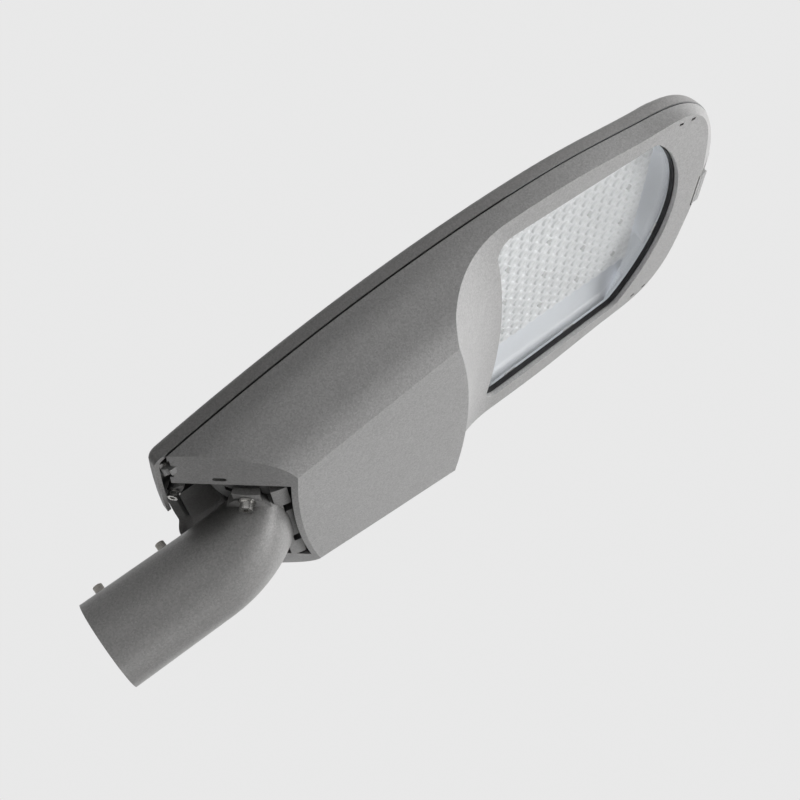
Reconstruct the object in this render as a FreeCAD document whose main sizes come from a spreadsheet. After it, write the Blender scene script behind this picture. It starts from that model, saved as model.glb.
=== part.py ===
import FreeCAD, Part
import math
import os
import re
from FreeCAD import Placement, Rotation, Vector

# LED street light head, side entry, for a 60 mm pole end.
# Origin: centre of the spigot's mouth. +X runs from the pole to the front, +Z up, glass down.

doc = FreeCAD.newDocument("street_light_head")
sheet = doc.addObject("Spreadsheet::Sheet", "Sizes")

SIZES = [
    ("Spigot elbow", [
        ("spigot_radius", 38.0), ("bore_radius", 31.5), ("socket_length", 92.0),
        ("straight_length", 88.0), ("underside_radius", 115.0), ("nose_length", 78.0),
        ("nose_half", 56.0), ("stop_ledge", 5.5), ("stop_thickness", 4.0),
    ]),
    ("Tilt joint between elbow and head", [
        ("tilt_axis_x", 182.0), ("tilt_axis_z", 50.0), ("saddle_radius", 51.0),
        ("saddle_wall", 4.0), ("sliding_gap", 0.3), ("flange_thickness", 6.0),
        ("flange_half", 65.0), ("flange_span", 64.0), ("flange_angle", -132.0),
        ("lip_half", 60.0), ("lip_run", 24.7), ("lip_rise", 1.5), ("foot_span", 13.0), ("ear_span", 22.0), ("seat_rise", 0.5),
        ("foot_notch_inner", 25.0), ("foot_notch_outer", 37.0), ("foot_notch_depth", 7.0),
        ("tilt_up", 15.0), ("tilt_down", 5.0), ("clamp_side", 55.0),
        ("clamp_radius", 3.0), ("clamp_head_radius", 5.2), ("clamp_head", 6.2),
        ("washer_radius", 6.5), ("washer_thickness", 1.5), ("clamp_block", 6.0),
        ("cheek_thickness", 6.0), ("saddle_plate", 4.0), ("saddle_top_z", 66.0),
        ("cable_window_half", 36.0), ("saddle_screw_radius", 3.0), ("saddle_screw_side", 46.0),
    ]),
    ("Set screws in the spigot", [
        ("set_screw_radius", 4.0), ("set_screw_length", 15.0),
        ("set_screw_first", 17.0), ("set_screw_second", 74.0),
    ]),
    ("Plan of the head at the seam", [
        ("rear_x", 101.0), ("rear_half", 105.0), ("rear_bow", 9.0), ("rear_corner", 3.5),
        ("wide_x", 426.0), ("wide_half", 150.5), ("corner_x", 640.0), ("corner_half", 121.6),
        ("front_x", 700.8),
    ]),
    ("Upper housing", [
        ("seam_z", 48.5), ("seam_gap", 1.6), ("rim_height", 7.4), ("roof_rise", 22.5),
        ("housing_wall", 3.2), ("roof_thickness", 4.0), ("roof_rear_x", 139.0),
        ("roof_rear_half", 74.0), ("roof_half", 104.5), ("roof_corner_x", 645.0),
        ("roof_corner_half", 97.5), ("roof_front_x", 664.0),
        ("notch_half", 31.5), ("notch_top_z", 65.0), ("notch_corner", 12.0), ("notch_depth", 14.0),
        ("fin_pitch", 13.0), ("fin_width", 4.0),
        ("fin_rows", 15.0), ("fin_depth", 5.4), ("stop_boss_z", 60.0),
        ("stop_boss_half", 26.0), ("stop_boss_x", 108.0), ("stop_boss_length", 28.0),
        ("pillar_radius", 6.0),
    ]),
    ("Lower cover", [
        ("face_z", 31.5), ("cover_step", 0.8), ("cover_wall", 3.4), ("face_thickness", 3.5),
        ("face_rear_half", 100.0), ("face_half", 146.6), ("face_corner_x", 640.0),
        ("face_corner_half", 121.4), ("face_front_x", 672.0),
        ("belly_z", -14.2), ("belly_rear_half", 78.0), ("belly_half", 127.5),
        ("swoop_axis_x", -114.0), ("swoop_start", 460.0), ("swoop_end", 552.0),
        ("rake_axis_x", 690.0), ("rake_top", 588.7), ("rake_bottom", 517.0),
        ("ring_wall", 4.4), ("mouth_half", 70.0),
        ("drain_length", 11.0), ("drain_width", 4.4), ("drain_x", 134.0), ("drain_z", 24.0),
        ("belly_round", 9.0), ("weep_length", 5.0), ("weep_width", 2.6), ("weep_inset", 4.2),
        ("weep_first_x", 614.0), ("weep_second_x", 629.3),
    ]),
    ("Window", [
        ("window_rear_x", 421.0), ("window_rear_half", 125.0), ("window_corner_x", 587.0),
        ("window_corner_half", 117.5), ("window_front_x", 639.5), ("window_corner", 16.0),
        ("collar_width", 9.2), ("glass_z", 41.5), ("glass_thickness", 4.0),
        ("glass_lap", 7.0), ("gasket_pad", 1.5), ("gasket_lip", 1.9), ("gasket_liner", 1.2),
        ("gasket_low_z", 36.5),
        ("clip_width", 14.0), ("clip_thickness", 1.5), ("clip_reach", 5.0),
        ("clip_screw_radius", 2.0), ("clip_boss_radius", 3.8),
    ]),
    ("Hinge and front latch", [
        ("hinge_x", 108.0), ("hinge_z", 51.5), ("hinge_radius", 4.6), ("hinge_pin_radius", 2.5),
        ("hinge_side", 90.0), ("hinge_ear", 8.0), ("hinge_lug", 5.0), ("hinge_play", 0.05),
        ("latch_half", 20.0), ("latch_gap", 1.0), ("latch_x", 677.0), ("latch_z", 38.0),
        ("latch_thickness", 2.4), ("hook_inset", 6.5), ("hook_rise", 4.5), ("latch_pin_radius", 2.0), ("niche_rear_x", 668.0),
        ("niche_top_z", 45.0), ("niche_wall", 3.0),
    ]),
    ("Light engine", [
        ("board_z", 68.0), ("board_thickness", 1.6), ("module_pitch", 50.0),
        ("module_gap", 0.4), ("module_base", 2.0), ("module_columns", 4.0),
        ("module_rows", 4.0), ("first_module_x", 455.0), ("board_margin", 0.8), ("board_chamfer", 5.0),
        ("board_tail", 14.0), ("lens_pitch", 12.5), ("lens_radius", 5.4),
        ("lens_top_radius", 4.2), ("lens_height", 1.8), ("lens_rows", 4.0),
        ("lens_screw_radius", 1.5), ("lens_screw_head", 2.8),
        ("reflector_thickness", 1.2), ("reflector_drop_z", 49.2), ("reflector_lap", 4.0),
    ]),
    ("Gear compartment", [
        ("tray_x", 222.0), ("tray_length", 176.0), ("tray_half", 88.0), ("tray_z", 66.0),
        ("tray_thickness", 1.5), ("tray_screw_inset", 8.0),
        ("driver_x", 236.0), ("driver_y", 12.0), ("driver_length", 136.0),
        ("driver_width", 66.0), ("driver_height", 36.0), ("driver_cap", 3.0),
        ("surge_x", 300.0), ("surge_y", -72.0), ("surge_length", 62.0),
        ("surge_width", 34.0), ("surge_height", 30.0),
        ("terminal_x", 236.0), ("terminal_y", -66.0), ("terminal_length", 22.0),
        ("terminal_width", 48.0), ("terminal_height", 18.0),
        ("grip_x", 270.0), ("grip_width", 40.0), ("small_screw_radius", 2.0),
        ("tray_lip", 8.0), ("earth_x", 105.0), ("earth_y", -51.0), ("earth_z", 51.5),
    ]),
]

WORDS = set()
line = 1
for heading, values in SIZES:
    sheet.set("A%d" % line, heading)
    line += 1
    for alias, value in values:
        sheet.set("A%d" % line, alias)
        sheet.set("B%d" % line, str(value))
        sheet.setAlias("B%d" % line, alias)
        WORDS.add(alias)
        line += 1
doc.recompute()

NODES = []


def size(alias):
    return float(sheet.get(alias))


def formula(text):
    """Points every size named in the text at its cell in the sheet."""
    def cell(match):
        word = match.group(0)
        return "Sizes." + word if word in WORDS else word
    return re.sub(r"[a-z][a-z_]*", cell, text)


def bound(kind, name, at, turn=None, **dims):
    """A Part primitive whose sizes and place follow the sheet."""
    thing = doc.addObject("Part::" + kind, name)
    if turn is not None:
        thing.Placement = Placement(Vector(), turn)
    for key, text in dims.items():
        thing.setExpression(key, formula(str(text)))
    for axis, text in zip("xyz", at):
        thing.setExpression("Placement.Base." + axis, formula(str(text)))
    return thing


ALONG_X = Rotation(Vector(0, 1, 0), 90)
ALONG_Y = Rotation(Vector(1, 0, 0), -90)


def joined(name, parts):
    thing = doc.addObject("Part::MultiFuse", name)
    thing.Shapes = parts
    thing.Refine = True
    return thing


def cut(name, base, tool):
    thing = doc.addObject("Part::Cut", name)
    thing.Base = base
    thing.Tool = tool
    return thing


def node(thing, label):
    """Marks a document object as a piece of the product."""
    thing.Label = label
    NODES.append(thing)
    return thing


def shaped(label, shape):
    """A piece whose form is worked out here from the sheet's sizes."""
    thing = doc.addObject("Part::Feature", label)
    thing.Shape = shape
    thing.Placement = Placement()
    return node(thing, label)


def spread(label, source, places):
    """Separate copies of one small piece, kept together as one node."""
    doc.recompute()
    copies = []
    for place in places:
        piece = source.Shape.copy()
        piece.Placement = place.multiply(piece.Placement)
        copies.append(piece)
    return shaped(label, Part.makeCompound(copies))


def block(low, high):
    a, b = Vector(*low), Vector(*high)
    return Part.makeBox(b.x - a.x, b.y - a.y, b.z - a.z, a)


def rod(radius, start, end):
    a, b = Vector(*start), Vector(*end)
    return Part.makeCylinder(radius, (b - a).Length, a, b - a)


def seamless(shape):
    """The shape without needless seams between its faces, where it stays sound."""
    merged = shape.copy().removeSplitter()
    return merged if merged.isValid() else shape


def slab(wire, z_low, z_high):
    """A flat outline raised between two heights."""
    face = Part.Face(wire)
    face.translate(Vector(0, 0, z_low - wire.BoundBox.ZMin))
    return face.extrude(Vector(0, 0, z_high - z_low))


# Plan outlines. Every level of the two castings is one smooth curve round the sides and
# front, two rear corner arcs and a bowed rear end, so that the levels can be lofted.

def level(alias_set, power=2.0):
    keys = ("rear_x", "rear_half", "wide_half", "corner_x", "corner_half", "front_x")
    plan = dict(zip(keys, alias_set))
    plan["power"] = power
    return plan


def mixed(first, second, share):
    return {key: first[key] + (second[key] - first[key]) * share for key in first}


def shrunk(plan, wall):
    out = dict(plan)
    out["rear_x"] += wall
    out["rear_half"] -= wall
    out["wide_half"] -= wall
    out["corner_x"] -= wall * 0.6
    out["corner_half"] -= wall * 0.8
    out["front_x"] -= wall
    return out


def side_half(plan, x):
    wide_x = size("wide_x")
    if x <= wide_x:
        share = (wide_x - x) / (wide_x - plan["rear_x"])
        return plan["wide_half"] - (plan["wide_half"] - plan["rear_half"]) * share ** plan["power"]
    share = (x - wide_x) / (plan["corner_x"] - wide_x)
    return plan["wide_half"] - (plan["wide_half"] - plan["corner_half"]) * share ** 2


def outline(plan, z):
    wide_x, round_off = size("wide_x"), size("rear_corner")
    rear_x = plan["rear_x"]
    side = [(rear_x + round_off + (wide_x - rear_x - round_off) * t, None)
            for t in (0.0, 0.25, 0.5, 0.75, 1.0)]
    side += [(wide_x + (plan["corner_x"] - wide_x) * t, None) for t in (0.35, 0.7, 0.955)]
    side = [(x, side_half(plan, x)) for x, _ in side]
    reach = plan["front_x"] - plan["corner_x"]
    radius = (reach ** 2 + plan["corner_half"] ** 2) / (2 * reach)
    for share in (0.89, 0.46):
        y = plan["corner_half"] * share
        side.append((plan["front_x"] - radius + math.sqrt(radius ** 2 - y ** 2), y))
    points = [Vector(x, -y, z) for x, y in side]
    points.append(Vector(plan["front_x"], 0, z))
    points += [Vector(x, y, z) for x, y in reversed(side)]
    sweep = Part.BSplineCurve()
    sweep.interpolate(points)
    dip = size("rear_bow") * round_off / plan["rear_half"] * 2
    far = Vector(rear_x - dip, plan["rear_half"] - round_off, z)
    near = Vector(far.x, -far.y, z)
    bend = round_off * (1 - math.sqrt(0.5))
    far_bend = Vector(rear_x + bend - dip / 2, plan["rear_half"] - bend, z)
    near_bend = Vector(far_bend.x, -far_bend.y, z)
    end = Vector(rear_x - size("rear_bow"), 0, z)
    return Part.Wire([sweep.toShape(),
                      Part.Arc(points[-1], far_bend, far).toShape(),
                      Part.Arc(far, end, near).toShape(),
                      Part.Arc(near, near_bend, points[0]).toShape()])


def loft(stack):
    return Part.makeLoft([outline(plan, z) for plan, z in stack], True, False)


SEAM = level([size(a) for a in ("rear_x", "rear_half", "wide_half",
                                "corner_x", "corner_half", "front_x")])
ROOF = level([size(a) for a in ("roof_rear_x", "roof_rear_half", "roof_half",
                                "roof_corner_x", "roof_corner_half", "roof_front_x")])
FACE = level([size("rear_x"), size("face_rear_half"), size("face_half"),
              size("face_corner_x"), size("face_corner_half"), size("face_front_x")])
BELLY = level([size("rear_x"), size("belly_rear_half"), size("belly_half"),
               size("face_corner_x"), size("belly_half") * 0.75, size("face_front_x") - 20], 1.05)

seam_z = size("seam_z")
housing_z = seam_z + size("seam_gap")
rim_z = housing_z + size("rim_height")
roof_z = rim_z + size("roof_rise")
tilt = Vector(size("tilt_axis_x"), 0, size("tilt_axis_z"))


def drum_point(radius, degrees, y):
    angle = math.radians(degrees)
    return Vector(tilt.x + radius * math.cos(angle), y, tilt.z + radius * math.sin(angle))


def drum_sector(inner, outer, low, high, y_low, y_high):
    """A slice of a barrel about the tilt axis."""
    middle = (low + high) / 2
    edges = [Part.Arc(drum_point(outer, low, y_low), drum_point(outer, middle, y_low),
                      drum_point(outer, high, y_low)).toShape(),
             Part.makeLine(drum_point(outer, high, y_low), drum_point(inner, high, y_low)),
             Part.Arc(drum_point(inner, high, y_low), drum_point(inner, middle, y_low),
                      drum_point(inner, low, y_low)).toShape(),
             Part.makeLine(drum_point(inner, low, y_low), drum_point(outer, low, y_low))]
    return Part.Face(Part.Wire(edges)).extrude(Vector(0, y_high - y_low, 0))


# Spigot elbow: one casting. A straight socket for the pole end runs into a nose whose
# underside climbs towards the head, and a curved flange closes it against the saddle.

spigot_radius = size("spigot_radius")
spigot_wall = spigot_radius - size("bore_radius")
straight = size("straight_length")
nose_steps = (0.0, 0.2, 0.4, 0.6, 0.8, 1.0)


def nose(shrink, reach):
    """Loft of flattened circles from the straight tube to the end of the nose."""
    sections = []
    for step in nose_steps:
        x = reach * step
        climb = size("underside_radius") - math.sqrt(size("underside_radius") ** 2 - x ** 2)
        low, top = -spigot_radius + climb + shrink, spigot_radius - shrink
        half = spigot_radius - (spigot_radius - size("nose_half")) * step ** 2 - shrink
        ring = Part.makeCircle(half, Vector(0, 0, 0), Vector(1, 0, 0))
        flatten = FreeCAD.Matrix()
        flatten.scale(1, 1, (top - low) / (2 * half))
        ring = ring.transformGeometry(flatten)
        ring.translate(Vector(straight + x, 0, (top + low) / 2))
        sections.append(Part.Wire([ring]))
    return Part.makeLoft(sections, True, False)


flange_inner = size("saddle_radius") + size("sliding_gap")
flange_outer = flange_inner + size("flange_thickness")
flange_low = size("flange_angle") - size("flange_span") / 2
flange_high = size("flange_angle") + size("flange_span") / 2
washer_seat = flange_outer + size("seat_rise")
pad_radius = size("washer_radius") + 0.4


def clamp_line(radius_low, radius_high, radius, side):
    """A round bar along one clamp screw's axis, from one distance to another."""
    y = side * size("clamp_side")
    return rod(radius, drum_point(radius_low, size("flange_angle"), y),
               drum_point(radius_high, size("flange_angle"), y))


elbow = rod(spigot_radius, (0, 0, 0), (straight, 0, 0)).fuse(nose(0, size("nose_length")))


def oval(radius, half_width, half_run):
    """An ellipse square to the clamp screws, at one distance from the tilt axis."""
    angle = math.radians(size("flange_angle"))
    centre = drum_point(radius, size("flange_angle"), 0)
    across = Vector(-math.sin(angle), 0, math.cos(angle))
    return Part.Wire([Part.Ellipse(centre + Vector(0, half_width, 0),
                                   centre + across * half_run, centre).toShape()])


lip_half, lip_run = size("lip_half"), size("lip_run")
band = drum_sector(flange_inner, flange_outer + size("lip_rise"), flange_low, flange_high,
                   -size("flange_half"), size("flange_half"))
column = Part.makeLoft([oval(30, lip_half, lip_run), oval(90, lip_half, lip_run)], True, True)
lip = column.common(band)
foot = drum_sector(flange_inner, flange_outer, flange_high - size("foot_span"), flange_high,
                   -size("flange_half"), size("flange_half"))
elbow = elbow.fuse([lip, foot])
notch_angle = math.degrees(size("foot_notch_depth") / flange_outer)
for side in (-1, 1):
    ends = sorted((side * size("nose_half") * 0.7, side * size("flange_half")))
    ear = drum_sector(flange_inner, flange_outer, size("flange_angle") - size("ear_span") / 2,
                      size("flange_angle") + size("ear_span") / 2, *ends)
    elbow = elbow.fuse([ear, clamp_line(flange_inner + 1, washer_seat, pad_radius, side)])
    elbow = elbow.cut(clamp_line(washer_seat, washer_seat + 30, pad_radius + 0.1, side))
    ends = sorted((side * size("foot_notch_inner"), side * size("foot_notch_outer")))
    elbow = elbow.cut(drum_sector(flange_inner - 5, flange_outer + 9, flange_high - notch_angle,
                                  flange_high + 5, *ends))
drum_space = rod(flange_inner, (tilt.x, -2 * spigot_radius, tilt.z),
                 (tilt.x, 2 * spigot_radius, tilt.z))
hollow = rod(size("bore_radius"), (-1, 0, 0), (straight, 0, 0))
hollow = hollow.fuse(nose(spigot_wall, size("nose_length") - spigot_wall))
elbow = elbow.cut(drum_space).cut(hollow)
ledge = rod(size("bore_radius") + 0.5, (size("socket_length"), 0, 0),
            (size("socket_length") + size("stop_thickness"), 0, 0))
ledge = ledge.common(nose(1, size("nose_length")))
ledge = ledge.cut(rod(size("bore_radius") - size("stop_ledge"), (0, 0, 0), (2 * straight, 0, 0)))
elbow = elbow.fuse(ledge)
for side in (-1, 1):
    elbow = elbow.cut(clamp_line(flange_inner - 5, washer_seat + 5,
                                 size("clamp_radius") + 0.2, side))
for x in (size("set_screw_first"), size("set_screw_second")):
    elbow = elbow.cut(rod(size("set_screw_radius") + 0.05, (x, 0, 0), (x, 0, 2 * spigot_radius)))
shaped("spigot_elbow", seamless(elbow))

# Two steel set screws bear on the pole end.

stud = bound("Cylinder", "set_screw_body", (0, 0, "bore_radius + 0.1"),
             Radius="set_screw_radius", Height="set_screw_length")
stud_key = bound("Prism", "set_screw_socket", (0, 0, "bore_radius + set_screw_length - 3.9"),
                 Circumradius="set_screw_radius * 0.55", Height="5")
stud_key.Polygon = 6
spread("pole_set_screws", cut("set_screw", stud, stud_key),
       [Placement(Vector(size(x), 0, 0), Rotation())
        for x in ("set_screw_first", "set_screw_second")])

# Tilt clamp: two cap screws with washers pull the flange and two curved blocks
# together over the saddle, through its slots.

clamp_turn = Rotation(Vector(0, 0, 1), drum_point(1, size("flange_angle"), 0) - tilt)
clamp_places = [Placement(Vector(tilt.x, side * size("clamp_side"), tilt.z), clamp_turn)
                for side in (-1, 1)]
seat_text = "saddle_radius + sliding_gap + flange_thickness + seat_rise"
block_inner = size("saddle_radius") - size("saddle_wall") - size("sliding_gap") - size("clamp_block")
shank = bound("Cylinder", "clamp_shank",
              (0, 0, "saddle_radius - saddle_wall - sliding_gap - clamp_block - 1.5"),
              Radius="clamp_radius", Height="saddle_wall + 2 * sliding_gap + clamp_block"
              " + flange_thickness + seat_rise + 1.5 + washer_thickness")
head = bound("Cylinder", "clamp_head_disc", (0, 0, seat_text + " + washer_thickness"),
             Radius="clamp_head_radius", Height="clamp_head")
head_key = bound("Prism", "clamp_socket",
                 (0, 0, seat_text + " + washer_thickness + clamp_head * 0.5"),
                 Circumradius="clamp_head_radius * 0.53", Height="clamp_head")
head_key.Polygon = 6
spread("tilt_clamp_screws", cut("clamp_screw", joined("clamp_screw_blank", [shank, head]), head_key),
       clamp_places)
washer = cut("clamp_washer_ring",
             bound("Cylinder", "washer_disc", (0, 0, seat_text),
                   Radius="washer_radius", Height="washer_thickness"),
             bound("Cylinder", "washer_hole", (0, 0, seat_text + " - 1"),
                   Radius="clamp_radius + 0.2", Height="washer_thickness + 2"))
spread("tilt_clamp_washers", washer, clamp_places)

cheek_inner = size("flange_half") - size("cheek_thickness") + 1
blocks = []
for side in (-1, 1):
    ends = sorted((side * (size("clamp_side") - 7), side * (cheek_inner - 0.5)))
    piece = drum_sector(block_inner, block_inner + size("clamp_block"),
                        size("flange_angle") - 11, size("flange_angle") + 11, *ends)
    blocks.append(piece.cut(clamp_line(block_inner - 5, flange_inner,
                                       size("clamp_radius") + 0.05, side)))
shaped("tilt_clamp_blocks", Part.makeCompound(blocks))

# Tilt saddle: a casting screwed under the housing's roof. Its barrel carries the elbow's
# flange, with a slot for each clamp screw and a wide window for the mains cable.

saddle_in = size("saddle_radius") - size("saddle_wall")
saddle_half = cheek_inner + size("cheek_thickness")
plate_z = size("saddle_top_z") - size("saddle_plate")
saddle = drum_sector(saddle_in, size("saddle_radius"), flange_low - size("tilt_up") + 2,
                     flange_high + size("tilt_down") + 13, -saddle_half, saddle_half)
window = size("cable_window_half")
saddle = saddle.cut(block((tilt.x - 80, -window, -40), (tilt.x + 80, window, plate_z)))
plate = block((tilt.x - 42, -saddle_half, plate_z), (tilt.x + 36, saddle_half, size("saddle_top_z")))
plate = plate.cut(block((tilt.x - 32, -window + 6, 0), (tilt.x + 26, window - 6, roof_z)))
saddle = saddle.fuse(plate)
for side in (-1, 1):
    ends = sorted((side * cheek_inner, side * saddle_half))
    disc = rod(size("saddle_radius") - 0.5, (tilt.x, ends[0], tilt.z), (tilt.x, ends[1], tilt.z))
    lower = disc.common(block((tilt.x - 80, -100, -40), (tilt.x + 30, 100, tilt.z)))
    upper = block((tilt.x - 42, ends[0], tilt.z - 6), (tilt.x + 30, ends[1], plate_z))
    saddle = saddle.fuse(lower.fuse(upper))
    slot = drum_sector(saddle_in - 2, size("saddle_radius") + 2,
                       size("flange_angle") - size("tilt_up") - 6.5,
                       size("flange_angle") + size("tilt_down") + 6.5,
                       side * size("clamp_side") - size("clamp_radius") - 0.3,
                       side * size("clamp_side") + size("clamp_radius") + 0.3)
    saddle = saddle.cut(slot)
saddle_bolts = [(tilt.x + along, side * size("saddle_screw_side"))
                for along in (-34, 29) for side in (-1, 1)]
for x, y in saddle_bolts:
    saddle = saddle.cut(rod(size("saddle_screw_radius") + 0.2, (x, y, 0), (x, y, roof_z)))
shaped("tilt_saddle", seamless(saddle))

screw_top = cut("saddle_screw",
                joined("saddle_screw_blank", [
                    bound("Cylinder", "saddle_screw_shank", (0, 0, "saddle_top_z - saddle_plate"),
                          Radius="saddle_screw_radius", Height="saddle_plate + 6"),
                    bound("Cylinder", "saddle_screw_head", (0, 0, "saddle_top_z - saddle_plate - 6"),
                          Radius="saddle_screw_radius * 1.7", Height="6")]),
                bound("Cylinder", "saddle_screw_socket", (0, 0, "saddle_top_z - saddle_plate - 7"),
                      Radius="saddle_screw_radius * 0.8", Height="4"))
spread("saddle_screws", screw_top, [Placement(Vector(x, y, 0), Rotation()) for x, y in saddle_bolts])

# Upper housing: one casting with a rim, a crowned roof with cooling fins over the LEDs,
# a rear notch that lets the spigot tilt, and bosses for all that hangs under it.

roof_steps = ((0.0, 0.0), (0.055, 0.2), (0.3, 0.44), (0.67, 0.76), (1.0, 1.0))


def crown(wall, drop):
    stack = [(shrunk(mixed(SEAM, ROOF, share), wall),
              rim_z + (size("roof_rise") - drop) * rise) for share, rise in roof_steps]
    return loft(stack)


wall = size("housing_wall")
housing_out = slab(outline(SEAM, 0), housing_z, rim_z).fuse(crown(0, 0))
housing_in = slab(outline(shrunk(SEAM, wall), 0), housing_z - 5, rim_z)
housing_in = housing_in.fuse(crown(wall, size("roof_thickness")))
housing = housing_out.cut(housing_in)

pitch = size("module_pitch")
columns, rows = int(size("module_columns")), int(size("module_rows"))
board_rear = size("first_module_x") - pitch / 2
board_front = board_rear + columns * pitch
board_half = rows * pitch / 2
board_top = size("board_z") + size("board_thickness")
margin = size("board_margin")
pad = block((board_rear - size("board_tail") - 4, -board_half - margin - 2, board_top),
            (board_front + margin + 4, board_half + margin + 2, roof_z - 1))
stop = block((size("stop_boss_x"), -size("stop_boss_half"), size("stop_boss_z")),
             (size("stop_boss_x") + size("stop_boss_length"), size("stop_boss_half"), roof_z - 1))
added = [pad, stop]
groove = size("fin_pitch") - size("fin_width")
fin_rows = int(size("fin_rows"))
carved = []
for index in range(fin_rows):
    y = (index - (fin_rows - 1) / 2) * size("fin_pitch")
    carved.append(block((board_rear - 4, y - groove / 2, roof_z - size("fin_depth")),
                        (board_front + 2, y + groove / 2, roof_z + 5)))

tray_top = size("tray_z") + size("tray_thickness")
inset = size("tray_screw_inset")
tray_bolts = [(x, y) for x in (size("tray_x") + inset, size("tray_x") + size("tray_length") - inset)
              for y in (-size("tray_half") + inset, size("tray_half") - inset)]
pillars = [(x, y, tray_top) for x, y in tray_bolts]
pillars += [(x, y, size("saddle_top_z")) for x, y in saddle_bolts]
for x, y, z in pillars:
    added.append(rod(size("pillar_radius"), (x, y, z), (x, y, roof_z)))
    carved.append(rod((size("saddle_screw_radius") if z < tray_top
                       else size("small_screw_radius")) + 0.02, (x, y, z - 1), (x, y, z + 6.2)))

ear_edge = size("hinge_ear") / 2 + 0.3
hinge_bore = size("hinge_pin_radius") + size("hinge_play")
for side in (-1, 1):
    for gap in (-1, 1):
        start = side * size("hinge_side") + gap * ear_edge
        ends = sorted((start, start + gap * size("hinge_lug")))
        lug = rod(size("hinge_radius"), (size("hinge_x"), ends[0], size("hinge_z")),
                  (size("hinge_x"), ends[1], size("hinge_z")))
        web = block((size("hinge_x") - size("hinge_radius"), ends[0], size("hinge_z")),
                    (size("hinge_x") + size("hinge_radius"), ends[1], roof_z))
        added += [lug, web]
    carved.append(rod(size("hinge_pin_radius") + 0.01,
                      (size("hinge_x"), side * (size("hinge_side") - 20), size("hinge_z")),
                      (size("hinge_x"), side * (size("hinge_side") + 9.5), size("hinge_z"))))

slope = Vector(-math.cos(math.radians(-size("flange_angle") - 90)), 0,
               -math.sin(math.radians(-size("flange_angle") - 90)))
earth_at = Vector(size("earth_x"), size("earth_y"), size("earth_z"))
added.append(rod(6, earth_at, earth_at - slope * 30))
carved.append(rod(2.5, earth_at + slope, earth_at - slope * 8))
notch_half, notch_corner = size("notch_half"), size("notch_corner")
notch_end = size("rear_x") - size("rear_bow") + size("notch_depth")
carved.append(block((0, -notch_half, 0), (notch_end, notch_half, size("notch_top_z") - notch_corner)))
carved.append(block((0, notch_corner - notch_half, 0),
                    (notch_end, notch_half - notch_corner, size("notch_top_z"))))
for side in (-1, 1):
    y, z = side * (notch_half - notch_corner), size("notch_top_z") - notch_corner
    carved.append(rod(notch_corner, (0, y, z), (notch_end, y, z)))
lens_places = [(size("first_module_x") + column * pitch, (row - (rows - 1) / 2) * pitch)
               for row in range(rows) for column in range(columns)]
for x, y in lens_places:
    carved.append(rod(size("lens_screw_radius") + 0.01, (x, y, board_top - 1), (x, y, board_top + 3.5)))
added = Part.makeCompound(added).common(housing_out)
housing = housing.fuse(added.Solids).cut(Part.makeCompound(carved[:fin_rows])).cut(carved[fin_rows:])
shaped("upper_housing", seamless(housing))

# Earth screw by the cable entry.

earth = joined("earth_blank", [
    bound("Cylinder", "earth_shank", (0, 0, "-7"), Radius="2.45", Height="8"),
    bound("Cylinder", "earth_washer", (0, 0, "0"), Radius="5", Height="1.2"),
    bound("Cylinder", "earth_head", (0, 0, "1.2"), Radius="4.2", Height="5")])
earth_key = bound("Prism", "earth_socket", (0, 0, "3.6"), Circumradius="2.3", Height="4")
earth_key.Polygon = 6
spread("earth_screw", cut("earth_piece", earth, earth_key),
       [Placement(earth_at, Rotation(Vector(0, 0, 1), slope))])

# Lower cover: one casting. A raked gear belly at the rear swoops up to the flat frame
# round the window. It is open at the rear for the spigot, and hinges there.

cover_plan = shrunk(SEAM, size("cover_step"))
mid_z = size("face_z") - 21.5
mid_plan = mixed(FACE, BELLY, 0.38)
mid_plan["power"] = 1.5


def swoop(thickness):
    """All that lies under the belly's front sweep and the flat face, turned about the rear."""
    depth = size("face_z") - size("belly_z")
    run = size("swoop_end") - size("swoop_start")
    radius = (run ** 2 + depth ** 2) / (2 * depth)
    centre_z = size("face_z") - radius
    radius += thickness
    low_z = size("belly_z") + thickness
    low_r = size("swoop_end") - math.sqrt(radius ** 2 - (low_z - centre_z) ** 2)
    middle = 0.5 * (math.acos((low_z - centre_z) / radius))
    path = [(low_r, low_z),
            (size("swoop_end") - radius * math.sin(middle), centre_z + radius * math.cos(middle)),
            (size("swoop_end"), centre_z + radius)]
    axis = size("swoop_axis_x")
    points = [Vector(axis + r, 0, z) for r, z in path]
    far = axis + size("front_x") * 2
    edges = [Part.Arc(*points).toShape(),
             Part.makeLine(points[2], Vector(far, 0, points[2].z)),
             Part.makeLine(Vector(far, 0, points[2].z), Vector(far, 0, -90)),
             Part.makeLine(Vector(far, 0, -90), Vector(points[0].x, 0, -90)),
             Part.makeLine(Vector(points[0].x, 0, -90), points[0])]
    face = Part.Face(Part.Wire(edges))
    return face.revolve(Vector(axis, 0, 0), Vector(0, 0, 1), 360)


def rake(setback):
    """All that lies behind the raked, bowed rear face."""
    span = seam_z - size("belly_z")
    slope_rate = (size("rake_top") - size("rake_bottom")) / span
    axis = size("rake_axis_x")
    top_z, low_z = seam_z + 20, size("belly_z") - 20
    top_r = size("rake_top") + 20 * slope_rate - setback
    low_r = size("rake_bottom") - 20 * slope_rate - setback
    corners = [Vector(axis - top_r, 0, top_z), Vector(axis - low_r, 0, low_z),
               Vector(axis - 1200, 0, low_z), Vector(axis - 1200, 0, top_z)]
    face = Part.Face(Part.makePolygon(corners + corners[:1]))
    return face.revolve(Vector(axis, 0, 0), Vector(0, 0, 1), 360)


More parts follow.
